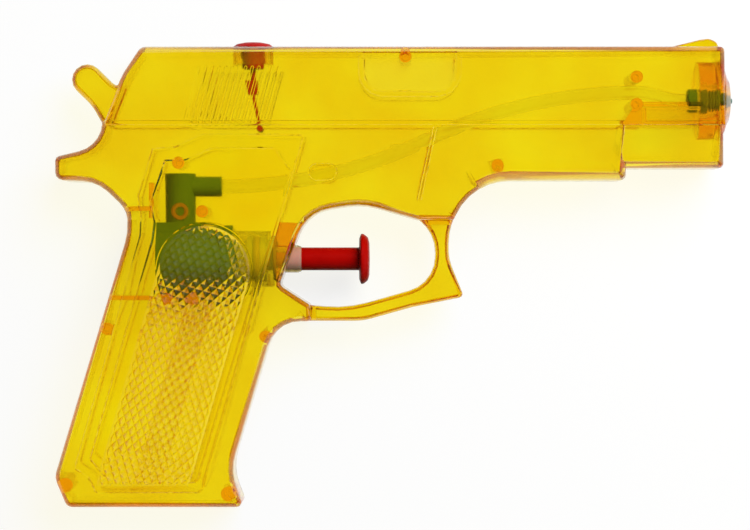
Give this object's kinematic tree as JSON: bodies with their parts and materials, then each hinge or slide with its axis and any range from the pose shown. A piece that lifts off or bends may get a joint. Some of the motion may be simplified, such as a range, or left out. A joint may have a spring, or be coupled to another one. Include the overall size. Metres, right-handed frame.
{
  "type": "toy water pistol",
  "caption": "Toy water pistol in clear half shells with a sprung trigger pump, ball valves, a hose to the muzzle nozzle and a filler plug that lifts.",
  "frame": {"origin": "centre of the box in X and Y, on the surface that the left side lies on", "axes": "+X to the muzzle, +Y to the sights, +Z to the right-hand side"},
  "size_m": [0.1798, 0.1241, 0.024],
  "materials": {
    "clear_yellow": "translucent moulded polystyrene",
    "red_plastic": "moulded polyethylene",
    "green_plastic": "moulded polyethylene",
    "natural_plastic": "translucent polyethylene",
    "white_plastic": "moulded polyethylene",
    "rubber": "matte",
    "steel": "bright"
  },
  "bodies": {
    "housing": {"right_shell": "clear_yellow", "left_shell": "clear_yellow", "pump_barrel": "natural_plastic", "barrel_gasket": "rubber", "valve_housing": "green_plastic", "valve_tower": "green_plastic", "inlet_cage": "white_plastic", "hose": "natural_plastic", "nozzle": "green_plastic", "return_spring": "steel"},
    "trigger": {"trigger": "red_plastic", "piston": "white_plastic", "piston_seal": "rubber"},
    "fill_plug": {"fill_plug": "red_plastic"},
    "outlet_ball": {"outlet_ball": "steel"},
    "inlet_ball": {"inlet_ball": "steel"}
  },
  "joints": [
    {"name": "trigger_pull", "type": "slide", "parent": "housing", "child": "trigger", "axis": [-1, 0, 0], "range_m": [0, 0.011], "stiffness_N_per_m": 250, "springref_m": -0.006, "deforming": ["return_spring"]},
    {"name": "plug_lift", "type": "slide", "parent": "housing", "child": "fill_plug", "axis": [0, 1, 0], "range_m": [0, 0.016]},
    {"name": "outlet_lift", "type": "slide", "parent": "housing", "child": "outlet_ball", "axis": [0, 1, 0], "range_m": [0, 0.0015]},
    {"name": "inlet_lift", "type": "slide", "parent": "housing", "child": "inlet_ball", "axis": [1, 0, 0], "range_m": [0, 0.0015]}
  ]
}
